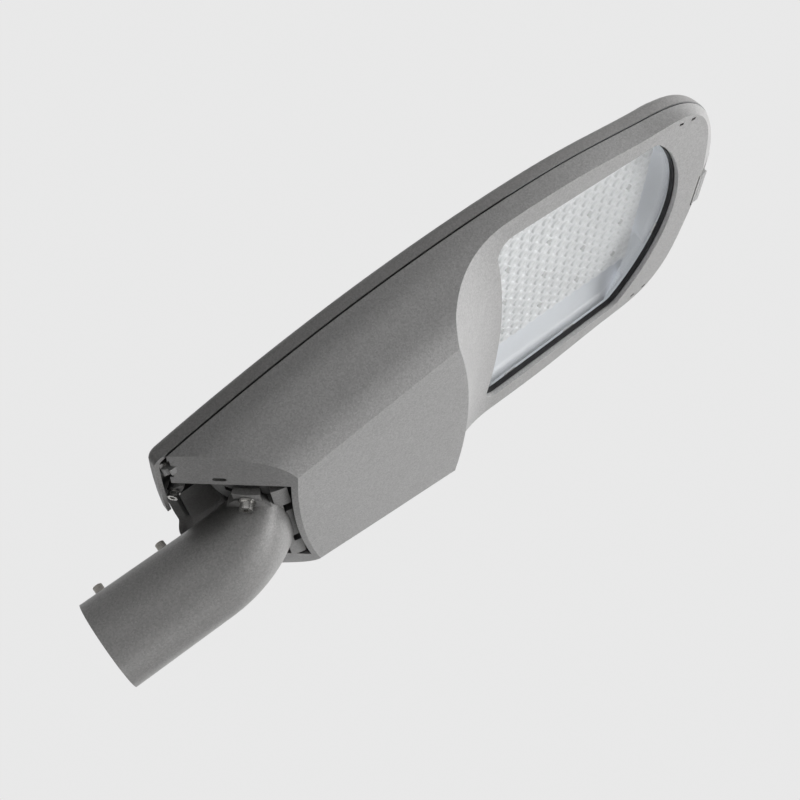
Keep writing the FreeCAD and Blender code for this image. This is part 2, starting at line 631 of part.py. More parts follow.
rounding = size("belly_round")
low_plan = mixed(BELLY, mid_plan, rounding / (mid_z - size("belly_z")))
cover_out = loft([(cover_plan, seam_z), (mixed(cover_plan, FACE, 0.3), seam_z - 6.5),
                  (FACE, size("face_z")), (mid_plan, mid_z),
                  (shrunk(low_plan, 0.3), size("belly_z") + rounding),
                  (shrunk(BELLY, rounding * 0.24), size("belly_z") + rounding * 0.3),
                  (shrunk(BELLY, rounding * 0.8), size("belly_z"))])
cover_out = cover_out.cut([swoop(0), rake(0)])
skin = size("cover_wall")
cover_in = loft([(shrunk(cover_plan, skin), seam_z + 0.01),
                 (shrunk(mixed(cover_plan, FACE, 0.3), skin), seam_z - 6.5),
                 (shrunk(FACE, skin), size("face_z")),
                 (shrunk(mid_plan, skin * 1.15), mid_z),
                 (shrunk(BELLY, skin * 1.6), size("belly_z") + skin)])
cover_in = cover_in.cut([swoop(size("face_thickness")), rake(size("ring_wall"))])
cover = cover_out.cut(cover_in)


def window_wire(grow):
    rear_r = size("window_rear_x") - size("swoop_axis_x")
    rear_half = size("window_rear_half")
    rear_x = size("swoop_axis_x") + math.sqrt(rear_r ** 2 - rear_half ** 2)
    corner_x, corner_half = size("window_corner_x"), size("window_corner_half")
    corners = [Vector(rear_x, -rear_half, 0), Vector(corner_x, -corner_half, 0),
               Vector(corner_x, corner_half, 0), Vector(rear_x, rear_half, 0)]
    edges = [Part.makeLine(corners[0], corners[1]),
             Part.Arc(corners[1], Vector(size("window_front_x"), 0, 0), corners[2]).toShape(),
             Part.makeLine(corners[2], corners[3]),
             Part.Arc(corners[3], Vector(size("window_rear_x"), 0, 0), corners[0]).toShape()]
    wire = Part.Wire(edges)
    tight = wire.makeOffset2D(-size("window_corner"))
    return tight.makeOffset2D(size("window_corner") + grow)


face_top = size("face_z") + size("face_thickness")
collar_top = size("glass_z") - size("gasket_pad")
collar = slab(window_wire(size("collar_width")), face_top - 2, collar_top)
added = [collar]
carved = [slab(window_wire(0), size("face_z") - 10, collar_top + 5),
          block((0, -size("mouth_half"), size("belly_z") + skin),
                (size("rake_axis_x") - size("rake_bottom") + 25, size("mouth_half"), seam_z + 30))]


def clip_places():
    """Where the glass clips sit: two along each side, two at the front, two at the rear."""
    reach = size("collar_width") + size("clip_boss_radius")
    places = []
    slant = (size("window_rear_half") - size("window_corner_half")) \
        / (size("window_corner_x") - size("window_rear_x"))
    for share in (0.2, 0.68):
        x = size("window_rear_x") + share * (size("window_corner_x") - size("window_rear_x"))
        y = size("window_rear_half") - slant * (x - size("window_rear_x")) + reach
        places += [(x, y, 90), (x, -y, -90)]
    for side in (-1, 1):
        places.append((size("window_front_x") - 6 + reach, side * 44, 0 + side * 15))
        places.append((size("window_rear_x") - 3 - reach, side * 55, 180 - side * 6))
    return places


CLIPS = clip_places()
glass_top = size("glass_z") + size("glass_thickness")
for x, y, _ in CLIPS:
    added.append(rod(size("clip_boss_radius"), (x, y, size("belly_z")), (x, y, glass_top)))
    carved.append(rod(size("clip_screw_radius") + 0.01, (x, y, glass_top - 7), (x, y, glass_top + 1)))

niche_half = size("latch_half") + size("latch_gap")
niche_wall = size("niche_wall")
shell = block((size("niche_rear_x") - niche_wall, -niche_half - niche_wall, size("face_z")),
              (size("front_x"), niche_half + niche_wall, size("niche_top_z") + niche_wall))
added.append(shell)
carved.append(block((size("niche_rear_x"), -niche_half, size("face_z") - 5),
                    (size("front_x") + 20, niche_half, size("niche_top_z"))))
carved.append(block((size("front_x") - size("hook_inset") - 4 - size("latch_thickness"), -niche_half,
                     size("face_z")), (size("front_x") + 20, niche_half, seam_z + 1)))
carved.append(rod(size("latch_pin_radius") + 0.01,
                  (size("latch_x"), -niche_half - 2.5, size("latch_z")),
                  (size("latch_x"), niche_half + 2.5, size("latch_z"))))
added = Part.makeCompound(added).common(cover_out)
cover = cover.fuse(added.Solids)

for side in (-1, 1):
    carved.append(rod(size("hinge_radius") + 0.5,
                      (size("hinge_x"), side * (size("hinge_side") - 11), size("hinge_z")),
                      (size("hinge_x"), side * (size("hinge_side") + 11), size("hinge_z"))))
    drain_turn = math.degrees(math.atan2(seam_z - size("belly_z"),
                                         size("rake_top") - size("rake_bottom")))
    half_length = (size("drain_length") - size("drain_width")) / 2
    drain = Part.makeCompound([
        block((-half_length, -size("drain_width") / 2, -15), (half_length, size("drain_width") / 2, 15)),
        rod(size("drain_width") / 2, (-half_length, 0, -15), (-half_length, 0, 15)),
        rod(size("drain_width") / 2, (half_length, 0, -15), (half_length, 0, 15))])
    drain.rotate(Vector(), Vector(0, 1, 0), drain_turn)
    drain.translate(Vector(size("drain_x"), side * (size("mouth_half") + 7), size("drain_z")))
    carved += drain.Solids
    for x in (size("weep_first_x"), size("weep_second_x")):
        y = side * (side_half(FACE, x) - size("weep_inset"))
        lean = (side_half(FACE, x + 1) - side_half(FACE, x - 1)) / 2 * side
        weep = block((-size("weep_length") / 2, -size("weep_width") / 2, 0),
                     (size("weep_length") / 2, size("weep_width") / 2, size("face_thickness") + 6))
        weep.rotate(Vector(), Vector(0, 0, 1), math.degrees(math.atan(lean)))
        weep.translate(Vector(x, y, size("face_z") - 3))
        carved.append(weep)
cover = cover.cut(carved)
for side in (-1, 1):
    ends = sorted((side * (size("hinge_side") - size("hinge_ear") / 2),
                   side * (size("hinge_side") + size("hinge_ear") / 2)))
    ear = rod(size("hinge_radius"), (size("hinge_x"), ends[0], size("hinge_z")),
              (size("hinge_x"), ends[1], size("hinge_z")))
    arm = block((size("hinge_x"), ends[0], seam_z - 4),
                (size("hinge_x") + 9, ends[1], size("hinge_z") - 0.5))
    cover = cover.fuse([ear, arm])
cover = cover.cut(rod(hinge_bore, (size("hinge_x"), -200, size("hinge_z")),
                      (size("hinge_x"), 200, size("hinge_z"))))
shaped("lower_cover", seamless(cover))

# Window: clear toughened glass in a black gasket, held by eight steel clips.

shaped("window_glass", slab(window_wire(size("glass_lap")), size("glass_z"),
                            size("glass_z") + size("glass_thickness")))
gasket = slab(window_wire(size("glass_lap") + size("gasket_lip")), collar_top,
              size("glass_z") + size("glass_thickness"))
gasket = gasket.cut(slab(window_wire(size("glass_lap")), size("glass_z"), size("glass_z") + 20))
liner = slab(window_wire(-0.05), size("gasket_low_z"), size("glass_z"))
gasket = gasket.cut(slab(window_wire(-size("gasket_liner")), collar_top - 5, size("glass_z") + 20))
gasket = gasket.fuse(liner.cut(slab(window_wire(-size("gasket_liner")), 0, size("glass_z") + 20)))
shaped("glass_gasket", gasket)

clip_z = "glass_z + glass_thickness"
clip = cut("glass_clip",
           bound("Box", "clip_plate",
                 ("-collar_width - clip_boss_radius + glass_lap - clip_reach",
                  "-clip_width / 2", clip_z),
                 Length="collar_width + 2 * clip_boss_radius - glass_lap + clip_reach",
                 Width="clip_width", Height="clip_thickness"),
           bound("Cylinder", "clip_hole", (0, 0, clip_z + " - 1"),
                 Radius="clip_screw_radius + 0.2", Height="clip_thickness + 2"))
clip_turns = [Placement(Vector(x, y, 0), Rotation(Vector(0, 0, 1), turn)) for x, y, turn in CLIPS]
spread("glass_clips", clip, clip_turns)
clip_screw = joined("clip_screw", [
    bound("Cylinder", "clip_screw_shank", (0, 0, clip_z + " - 6"),
          Radius="clip_screw_radius", Height="6 + clip_thickness"),
    bound("Cylinder", "clip_screw_head", (0, 0, clip_z + " + clip_thickness"),
          Radius="clip_screw_radius * 1.9", Height="1.6")])
spread("glass_clip_screws", clip_screw, clip_turns)

# Seam gasket: a flat silicone cord between the two castings, open at the rear and the latch.

band = slab(outline(shrunk(SEAM, 1.7), 0), seam_z, housing_z)
band = band.cut(slab(outline(shrunk(SEAM, 3.1), 0), seam_z - 1, housing_z + 1))
latch_clear = size("latch_half") + 2.5
band = band.cut(block((size("front_x") - 30, -latch_clear, 0), (size("front_x"), latch_clear, 100)))
shaped("seam_gasket", band.cut(block((0, -200, 0), (size("rear_x") + 14, 200, 100))))

# Hinge pins for the cover, and the front latch with its pin.

pin_places = [Placement(Vector(size("hinge_x"), y, size("hinge_z")), ALONG_Y)
              for y in (-size("hinge_side") - 9.3, size("hinge_side") - 9.3)]
pin_source = bound("Cylinder", "hinge_pin", (0, 0, 0), Radius="hinge_pin_radius", Height="18.6")
spread("hinge_pins", pin_source, pin_places)
pin = bound("Cylinder", "latch_pin_rod", ("latch_x", "-latch_half - latch_gap - 2.4", "latch_z"),
            ALONG_Y, Radius="latch_pin_radius", Height="2 * latch_half + 2 * latch_gap + 4.8")
node(pin, "latch_pin")

thick = size("latch_thickness")
hook_x = size("front_x") - size("hook_inset")
slant = (seam_z - size("face_z")) / (size("front_x") - size("face_front_x"))
rear_x, low_z = size("niche_rear_x") + 2.2, size("face_z") + 0.2
toe_x = size("face_front_x") + 1
toe_z = seam_z - 2
tip_x = toe_x + (toe_z - low_z) / slant
lever_line = [(rear_x, low_z), (toe_x, low_z), (tip_x, toe_z), (tip_x, seam_z - 0.6),
              (hook_x, seam_z - 0.6), (hook_x, seam_z + size("hook_rise")),
              (hook_x - thick, seam_z + size("hook_rise")), (hook_x - thick, toe_z),
              (toe_x - 2, low_z + thick), (rear_x, low_z + thick)]
corners = [Vector(x, -size("latch_half"), z) for x, z in lever_line]
lever = Part.Face(Part.makePolygon(corners + corners[:1])).extrude(Vector(0, 2 * size("latch_half"), 0))
barrel = rod(size("latch_pin_radius") + 2, (size("latch_x"), -size("latch_half"), size("latch_z")),
             (size("latch_x"), size("latch_half"), size("latch_z")))
foot = block((size("latch_x") - 2.5, -size("latch_half"), low_z + 0.5),
             (size("latch_x") + 2.5, size("latch_half"), size("latch_z")))
lever = lever.fuse(barrel).fuse(foot)
lever = lever.cut(rod(size("latch_pin_radius") + 0.05, (size("latch_x"), -30, size("latch_z")),
                      (size("latch_x"), 30, size("latch_z"))))
shaped("front_latch", seamless(lever))

# Light engine: an aluminium LED board under the fins, sixteen lens modules with a screw
# in the middle of each, and a painted reflector frame down to the glass.

tail = size("board_tail")
board = bound("Box", "board_blank", ("first_module_x - module_pitch / 2 - board_tail",
                                     "-module_rows * module_pitch / 2 - board_margin", "board_z"),
              Length="module_columns * module_pitch + board_tail + board_margin",
              Width="module_rows * module_pitch + 2 * board_margin", Height="board_thickness")
doc.recompute()
board_shape = board.Shape.copy()
chamfer = size("board_chamfer")
for side in (-1, 1):
    tip = Vector(board_front + margin, side * (board_half + margin), 0)
    corner = [tip, tip - Vector(chamfer, 0, 0), tip - Vector(0, side * chamfer, 0), tip]
    board_shape = board_shape.cut(Part.Face(Part.makePolygon(corner)).extrude(Vector(0, 0, roof_z)))
for x, y in lens_places:
    board_shape = board_shape.cut(rod(size("lens_screw_radius") + 0.1, (x, y, 0), (x, y, roof_z)))
shaped("led_board", board_shape)

module_side = pitch - size("module_gap")
module_z = size("board_z") - size("module_base")
lens_rows = int(size("lens_rows"))
module = block((-module_side / 2, -module_side / 2, module_z), (module_side / 2, module_side / 2, size("board_z")))
for column in range(lens_rows):
    for row in range(lens_rows):
        x = (column - (lens_rows - 1) / 2) * size("lens_pitch")
        y = (row - (lens_rows - 1) / 2) * size("lens_pitch")
        dome = Part.makeCone(size("lens_radius"), size("lens_top_radius"), size("lens_height"),
                             Vector(x, y, module_z), Vector(0, 0, -1))
        module = module.fuse(dome)
module = module.cut(rod(size("lens_screw_radius") + 0.1, (0, 0, 0), (0, 0, roof_z)))
for index, (x, y) in enumerate(lens_places):
    lens = shaped("lens_module_%02d" % (index + 1), module)
    lens.Placement = Placement(Vector(x, y, 0), Rotation())

lens_screw = joined("lens_screw", [
    bound("Cylinder", "lens_screw_shank", (0, 0, "board_z - module_base"),
          Radius="lens_screw_radius", Height="module_base + board_thickness + 3"),
    bound("Cylinder", "lens_screw_cap", (0, 0, "board_z - module_base - 1.8"),
          Radius="lens_screw_head", Height="1.8")])
spread("lens_screws", lens_screw, [Placement(Vector(x, y, 0), Rotation()) for x, y in lens_places])


def frame_loft(grow, z_low, z_high, low_grow):
    """A sloping skirt from the board's edge out to the window's edge."""
    high = [Vector(board_rear - tail - grow, -board_half - margin - grow, z_high),
            Vector(board_front + margin + grow, -board_half - margin - grow, z_high),
            Vector(board_front + margin + grow, board_half + margin + grow, z_high),
            Vector(board_rear - tail - grow, board_half + margin + grow, z_high)]
    rear_r = size("window_rear_x") - size("swoop_axis_x")
    x_low = size("swoop_axis_x") + math.sqrt(rear_r ** 2 - size("window_rear_half") ** 2) - low_grow
    x_mid = size("window_corner_x")
    rear_half = size("window_rear_half") + low_grow
    front_half = size("window_corner_half") + low_grow
    low = [Vector(x_low, -rear_half, z_low), Vector(x_mid, -front_half, z_low),
           Vector(x_mid, front_half, z_low), Vector(x_low, rear_half, z_low)]
    x_high = size("window_front_x") + low_grow
    front_low = Part.Arc(low[1], Vector(x_high, 0, z_low), low[2]).toShape()
    wire_high = Part.makePolygon(high + high[:1])
    wire_low = Part.Wire([Part.makeLine(low[0], low[1]), front_low,
                          Part.makeLine(low[2], low[3]), Part.makeLine(low[3], low[0])])
    return Part.makeLoft([wire_low, wire_high], True, True)


sheet_mm = size("reflector_thickness")
flange_z = size("board_z") - sheet_mm
skirt_lap = size("reflector_lap")
skirt = frame_loft(sheet_mm, size("reflector_drop_z"), size("board_z"), skirt_lap + sheet_mm)
skirt = skirt.cut(frame_loft(0, size("reflector_drop_z") - 0.01, flange_z, skirt_lap))
skirt = skirt.cut(block((board_rear - 0.5, -board_half - 0.5, 0),
                        (board_front + 0.5, board_half + 0.5, 100)))
for side in (-1, 1):
    tip = Vector(board_front + margin + 2, side * (board_half + margin + 2), size("board_z") - 1.6)
    corner = [tip, tip - Vector(3.5, 0, 0), tip - Vector(0, side * 3.5, 0), tip]
    skirt = skirt.cut(Part.Face(Part.makePolygon(corner)).extrude(Vector(0, 0, 4)))
shaped("reflector_frame", skirt)

# Gear tray and what it carries. The tray is folded steel sheet screwed to four pillars.

tray = bound("Box", "tray_blank", ("tray_x", "-tray_half", "tray_z"),
             Length="tray_length", Width="2 * tray_half", Height="tray_thickness")
doc.recompute()
tray_shape = tray.Shape.copy()
for side in (-1, 1):
    ends = sorted((side * size("tray_half"), side * (size("tray_half") - size("tray_thickness"))))
    tray_shape = tray_shape.fuse(block((size("tray_x") + 20, ends[0], size("tray_z") - size("tray_lip")),
                                       (size("tray_x") + size("tray_length") - 20, ends[1],
                                        size("tray_z") + 0.5)))
for x, y in tray_bolts:
    tray_shape = tray_shape.cut(rod(size("small_screw_radius") + 0.2, (x, y, 0), (x, y, 100)))
shaped("gear_tray", seamless(tray_shape))


def pan_screw(name, base_text, up):
    """A small pan head screw that points up, with its head under the given height."""
    return joined(name, [
        bound("Cylinder", name + "_shank", (0, 0, base_text), Radius="small_screw_radius", Height=up),
        bound("Cylinder", name + "_head", (0, 0, base_text + " - 2"),
              Radius="small_screw_radius * 1.9", Height="2")])


tray_screw = pan_screw("tray_screw", "tray_z", "tray_thickness + 5")
spread("gear_tray_screws", tray_screw, [Placement(Vector(x, y, 0), Rotation()) for x, y in tray_bolts])

case = bound("Box", "driver_block", ("driver_x + driver_cap", "driver_y", "tray_z - driver_height"),
             Length="driver_length - 2 * driver_cap", Width="driver_width", Height="driver_height")
rib_cuts = []
for step in range(6):
    rib_cuts.append(bound("Box", "driver_groove_%d" % step,
                          ("driver_x - 1", "driver_y + 7 + %d * 10" % step,
                           "tray_z - driver_height - 1"),
                          Length="driver_length + 2", Width="4", Height="2.5"))
node(cut("driver_extrusion", case, joined("driver_grooves", rib_cuts)), "driver_case")
cap_source = bound("Box", "driver_cap_plate", (0, "driver_y", "tray_z - driver_height"),
                   Length="driver_cap", Width="driver_width", Height="driver_height")
spread("driver_end_caps", cap_source,
       [Placement(Vector(size("driver_x"), 0, 0), Rotation()),
        Placement(Vector(size("driver_x") + size("driver_length") - size("driver_cap"), 0, 0),
                  Rotation())])

surge = bound("Box", "surge_block", ("surge_x", "surge_y", "tray_z - surge_height"),
              Length="surge_length", Width="surge_width", Height="surge_height")
node(surge, "surge_protector")

terminal = bound("Box", "terminal_body", ("terminal_x", "terminal_y", "tray_z - terminal_height"),
                 Length="terminal_length", Width="terminal_width", Height="terminal_height")
wells = []
for pole in range(3):
    centre = "terminal_y + terminal_width * (%d + 0.5) / 3" % pole
    wells.append(bound("Cylinder", "terminal_well_%d" % pole,
                       ("terminal_x + terminal_length / 2", centre, "tray_z - terminal_height - 1"),
                       Radius="3.5", Height="7"))
    for end in (0, 1):
        wells.append(bound("Box", "terminal_entry_%d_%d" % (pole, end),
                           ("terminal_x - 1 + %d * (terminal_length - 5)" % end,
                            centre + " - 3", "tray_z - terminal_height + 3"),
                           Length="7", Width="6", Height="6"))
node(cut("terminal_moulding", terminal, joined("terminal_openings", wells)), "terminal_block")

grip = bound("Box", "grip_bar", ("grip_x", "terminal_y + 4", "tray_z - 12"),
             Length="10", Width="grip_width", Height="12")
grip_gap = bound("Cylinder", "grip_saddle", ("grip_x - 1", "terminal_y + 4 + grip_width / 2", "tray_z"),
                 ALONG_X, Radius="6.5", Height="12")
node(cut("cable_grip", grip, grip_gap), "cable_clamp")

failed = [thing.Name for thing in doc.Objects if "Invalid" in thing.State or "Error" in thing.State]
doc.recompute()
failed += [thing.Name for thing in doc.Objects if "Invalid" in thing.State or "Error" in thing.State]
for thing in NODES:
    if thing.Shape.isNull() or not thing.Shape.isValid():
        failed.append(thing.Label)
if failed:
    raise SystemExit("not built: " + ", ".join(failed))

os.makedirs("parts", exist_ok=True)
for thing in NODES:
    thing.Shape.exportStep(os.path.join("parts", thing.Label + ".step"))
print(len(NODES), "pieces written")
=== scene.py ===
import bpy
from mathutils import Matrix, Vector

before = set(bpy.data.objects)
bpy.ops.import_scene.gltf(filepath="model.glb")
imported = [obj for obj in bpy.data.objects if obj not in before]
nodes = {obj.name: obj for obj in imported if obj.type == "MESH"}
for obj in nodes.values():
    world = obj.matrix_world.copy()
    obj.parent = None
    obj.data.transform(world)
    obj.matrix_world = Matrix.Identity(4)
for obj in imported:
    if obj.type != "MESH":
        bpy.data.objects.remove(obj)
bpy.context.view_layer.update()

# Camera. The head is seen from below, behind and to one side, with a normal lens and
# a roll that sets the spigot at the lower left of the square picture.

camera_data = bpy.data.cameras.new("camera")
camera_data.sensor_width = 36.0
camera_data.lens = 44.96
camera_data.clip_start = 0.02
camera = bpy.data.objects.new("camera", camera_data)
bpy.context.scene.collection.objects.link(camera)
right = Vector((0.7864, 0.0318, -0.6169)).normalized()
back = Vector((-0.2824, -0.8697, -0.4048)).normalized()
up = back.cross(right).normalized()
right = up.cross(back)
camera.matrix_world = Matrix((
    (right.x, up.x, back.x, 0.0628),
    (right.y, up.y, back.y, -0.7474),
    (right.z, up.z, back.z, -0.3189),
    (0, 0, 0, 1),
))
bpy.context.scene.camera = camera

# Studio. A pale floor lies well below the hanging head. The camera, metal and glass see
# a plain pale ground; a wide glow lights the head from below, in front and the far side.

scene = bpy.context.scene
scene.view_settings.view_transform = "Standard"
world = bpy.data.worlds.new("studio_world")
scene.world = world
world.use_nodes = True
tree = world.node_tree
tree.nodes.clear()
out = tree.nodes.new("ShaderNodeOutputWorld")
backdrop = tree.nodes.new("ShaderNodeBackground")
backdrop.inputs["Color"].default_value = (0.812, 0.812, 0.812, 1)
glow = tree.nodes.new("ShaderNodeBackground")
glow.inputs["Color"].default_value = (1, 1, 1, 1)
direction = tree.nodes.new("ShaderNodeTexCoord")
glow_side = Vector((0.62, 0.38, -0.73)).normalized()
facing = tree.nodes.new("ShaderNodeVectorMath")
facing.operation = "DOT_PRODUCT"
facing.inputs[1].default_value = glow_side
tree.links.new(direction.outputs["Generated"], facing.inputs[0])
spread = tree.nodes.new("ShaderNodeMapRange")
spread.interpolation_type = "SMOOTHSTEP"
spread.inputs["From Min"].default_value = -0.25
spread.inputs["From Max"].default_value = 1.0
spread.inputs["To Min"].default_value = 0.03
spread.inputs["To Max"].default_value = 1.75
tree.links.new(facing.outputs["Value"], spread.inputs["Value"])
tree.links.new(spread.outputs[0], glow.inputs["Strength"])
seen = tree.nodes.new("ShaderNodeLightPath")
mask = seen.outputs["Is Camera Ray"]
for kind in ("Is Glossy Ray", "Is Transmission Ray"):
    either = tree.nodes.new("ShaderNodeMath")
    either.operation = "MAXIMUM"
    tree.links.new(mask, either.inputs[0])
    tree.links.new(seen.outputs[kind], either.inputs[1])
    mask = either.outputs[0]
pick = tree.nodes.new("ShaderNodeMixShader")
tree.links.new(mask, pick.inputs[0])
tree.links.new(glow.outputs[0], pick.inputs[1])
tree.links.new(backdrop.outputs[0], pick.inputs[2])
tree.links.new(pick.outputs[0], out.inputs["Surface"])

# Floor. Matt and pale, 2.5 m below the spigot. The camera sees it lifted to the level of
# the backdrop; what falls on the head from it is only its own paint.

FLOOR_HALF, FLOOR_Z = 6, -2.5
floor_mesh = bpy.data.meshes.new("floor")
floor_mesh.from_pydata([(x * FLOOR_HALF, y * FLOOR_HALF, FLOOR_Z)
                        for x, y in ((-1, -1), (1, -1), (1, 1), (-1, 1))], [], [(0, 1, 2, 3)])
floor = bpy.data.objects.new("floor", floor_mesh)
scene.collection.objects.link(floor)
floor_paint = bpy.data.materials.new("pale_floor")
floor_paint.use_nodes = True
tree = floor_paint.node_tree
shader = tree.nodes["Principled BSDF"]
shader.inputs["Base Color"].default_value = (0.8, 0.8, 0.8, 1)
shader.inputs["Roughness"].default_value = 0.9
shader.inputs["Emission Color"].default_value = (1, 1, 1, 1)
floor_seen = tree.nodes.new("ShaderNodeLightPath")
lift = tree.nodes.new("ShaderNodeMath")
lift.operation = "MULTIPLY"
lift.inputs[1].default_value = 0.69
tree.links.new(floor_seen.outputs["Is Camera Ray"], lift.inputs[0])
tree.links.new(lift.outputs[0], shader.inputs["Emission Strength"])
floor_mesh.materials.append(floor_paint)


def soft_light(name, at, aim, width, watts):
    """A square softbox that faces a point of the head."""
    data = bpy.data.lights.new(name, "AREA")
    data.shape = "SQUARE"
    data.size = width
    data.energy = watts
    lamp = bpy.data.objects.new(name, data)
    lamp.location = at
    lamp.rotation_euler = (Vector(aim) - Vector(at)).to_track_quat("-Z", "Y").to_euler()
    scene.collection.objects.link(lamp)


soft_light("key_below_front", at=(1.25, 0.0, -1.1), aim=(0.4, 0, 0.03), width=0.9, watts=10)
soft_light("rim_behind", at=(-0.4, 0.1, -1.1), aim=(0.15, 0, 0.0), width=0.7, watts=2.2)
soft_light("front_side", at=(1.5, -0.6, -0.2), aim=(0.6, -0.1, 0.05), width=0.5, watts=5)

# Powder coat. The castings are die-cast aluminium in a grey coat, sprayed on as powder
# and baked. It is matt and fine-grained; painted shade makes it darker in gaps and deep corners.


def new_group(name, inputs, outputs):
    """An empty node group with its named sockets."""
    group = bpy.data.node_groups.new(name, "ShaderNodeTree")
    for label, kind, value in inputs:
        socket = group.interface.new_socket(label, in_out="INPUT", socket_type=kind)
        socket.default_value = value
    for label, kind in outputs:
        group.interface.new_socket(label, in_out="OUTPUT", socket_type=kind)
    return group, group.nodes.new("NodeGroupInput"), group.nodes.new("NodeGroupOutput")


def add(tree, kind, **values):
    """A node with some of its settings and unlinked sockets filled in."""
    made = tree.nodes.new("ShaderNode" + kind)
    for label, value in values.items():
        if hasattr(made, label):
            setattr(made, label, value)
        else:
            made.inputs[label.replace("_", " ")].default_value = value
    return made


def object_place(tree):
    """Where a point lies on its own piece."""
    return tree.nodes.new("ShaderNodeTexCoord").outputs["Object"]


def ranged(tree, source, low, high, to_low, to_high):
    """The source value stretched from one range to another."""
    made = tree.nodes.new("ShaderNodeMapRange")
    for label, value in (("From Min", low), ("From Max", high),
                         ("To Min", to_low), ("To Max", to_high)):
        made.inputs[label].default_value = value
    tree.links.new(source, made.inputs["Value"])
    return made.outputs[0]


def times(tree, first, second):
    """The product of two values; either may be a number."""
    made = tree.nodes.new("ShaderNodeMath")
    made.operation = "MULTIPLY"
    for socket, value in zip(made.inputs, (first, second)):
        if isinstance(value, (int, float)):
            socket.default_value = value
        else:
            tree.links.new(value, socket)
    return made.outputs[0]


def scaled(tree, color, value):
    """A colour made darker or paler by a value."""
    made = tree.nodes.new("ShaderNodeVectorMath")
    made.operation = "SCALE"
    tree.links.new(color, made.inputs[0])
    tree.links.new(value, made.inputs["Scale"])
    return made.outputs[0]


def give_out(group, given, result, shade, wear, relief):
    """The group's outputs: paint by a shade, roughness by a wear, and the relief's height."""
    group.links.new(scaled(group, given.outputs["Paint"], shade), result.inputs["Color"])
    group.links.new(times(group, given.outputs["Roughness"], wear), result.inputs["Roughness"])
    group.links.new(times(group, relief, given.outputs["Grain Depth"]), result.inputs["Height"])


SURFACE_IN = [("Paint", "NodeSocketColor", (0.4, 0.4, 0.4, 1)),
              ("Roughness", "NodeSocketFloat", 0.45),
              ("Grain Scale", "NodeSocketFloat", 900.0),
              ("Grain Depth", "NodeSocketFloat", 0.00005)]
SURFACE_OUT = [("Color", "NodeSocketColor"), ("Roughness", "NodeSocketFloat"),
               ("Height", "NodeSocketFloat")]

powder, given, result = new_group("powder_grain", SURFACE_IN, SURFACE_OUT)
place = object_place(powder)
fine = add(powder, "TexNoise", Detail=2.0)
flake = add(powder, "TexVoronoi")
broad = add(powder, "TexNoise", Scale=7.0, Detail=5.0)
smear = add(powder, "TexNoise", Scale=38.0, Detail=3.0, Roughness=0.65)
powder.links.new(given.outputs["Grain Scale"], fine.inputs["Scale"])
powder.links.new(times(powder, given.outputs["Grain Scale"], 1.6), flake.inputs["Scale"])
for texture in (fine, flake, broad, smear):
    powder.links.new(place, texture.inputs["Vector"])
spark = ranged(powder, flake.outputs["Color"], 0.0, 1.0, 0.82, 1.18)
drift = ranged(powder, broad.outputs["Fac"], 0.3, 0.7, 0.97, 1.03)
give_out(powder, given, result, shade=times(powder, spark, drift),
         wear=ranged(powder, smear.outputs["Fac"], 0.3, 0.7, 0.88, 1.12),
         relief=fine.outputs["Fac"])


def surfaced(name, group, paint, roughness, metallic=0.0, grain=900.0, depth=0.00005):
    """A material whose colour, roughness and relief come from one of the surface groups."""
    material = bpy.data.materials.new(name)
    material.use_nodes = True
    tree = material.node_tree
    shader = tree.nodes["Principled BSDF"]
    shader.inputs["Metallic"].default_value = metallic
    shader.inputs["Specular IOR Level"].default_value = 0.4
    skin = tree.nodes.new("ShaderNodeGroup")
    skin.node_tree = group
    skin.name = "skin"
    for label, value in (("Paint", (*paint, 1)), ("Roughness", roughness),
                         ("Grain Scale", grain), ("Grain Depth", depth)):
        skin.inputs[label].default_value = value
    relief = add(tree, "Bump", Strength=0.7, Distance=1.0)
    tree.links.new(skin.outputs["Color"], shader.inputs["Base Color"])
    tree.links.new(skin.outputs["Roughness"], shader.inputs["Roughness"])
    tree.links.new(skin.outputs["Height"], relief.inputs["Height"])
    tree.links.new(relief.outputs["Normal"], shader.inputs["Normal"])
    return material


def painted_recess_shade(material, reach, darkest):
    """The finish made darker with painted shade in gaps and deep corners, where little light
    reaches.
    """
    tree = material.node_tree
    shade = add(tree, "AmbientOcclusion", samples=8)
    shade.inputs["Distance"].default_value = reach
    deep = ranged(tree, shade.outputs["AO"], 0.25, 0.85, darkest, 1.0)
    tree.links.new(scaled(tree, tree.nodes["skin"].outputs["Color"], deep),
                   tree.nodes["Principled BSDF"].inputs["Base Color"])
    return material


def glowing(material, color, strength):
    """A faint glow, for pieces that the picture shows brighter than the lamps make them."""
    shader = material.node_tree.nodes["Principled BSDF"]
    shader.inputs["Emission Color"].default_value = (*color, 1)
    shader.inputs["Emission Strength"].default_value = strength
    return material


# The colour of the painted glow on the reflector sheet and the housing's inner faces, and the
# bounds of those inner faces.
SKIRT_GLOW = (0.86, 0.9, 0.96)
CHAMBER_MID_X, CHAMBER_REAR_X, RIM_Z = 0.5, 0.43, 0.05


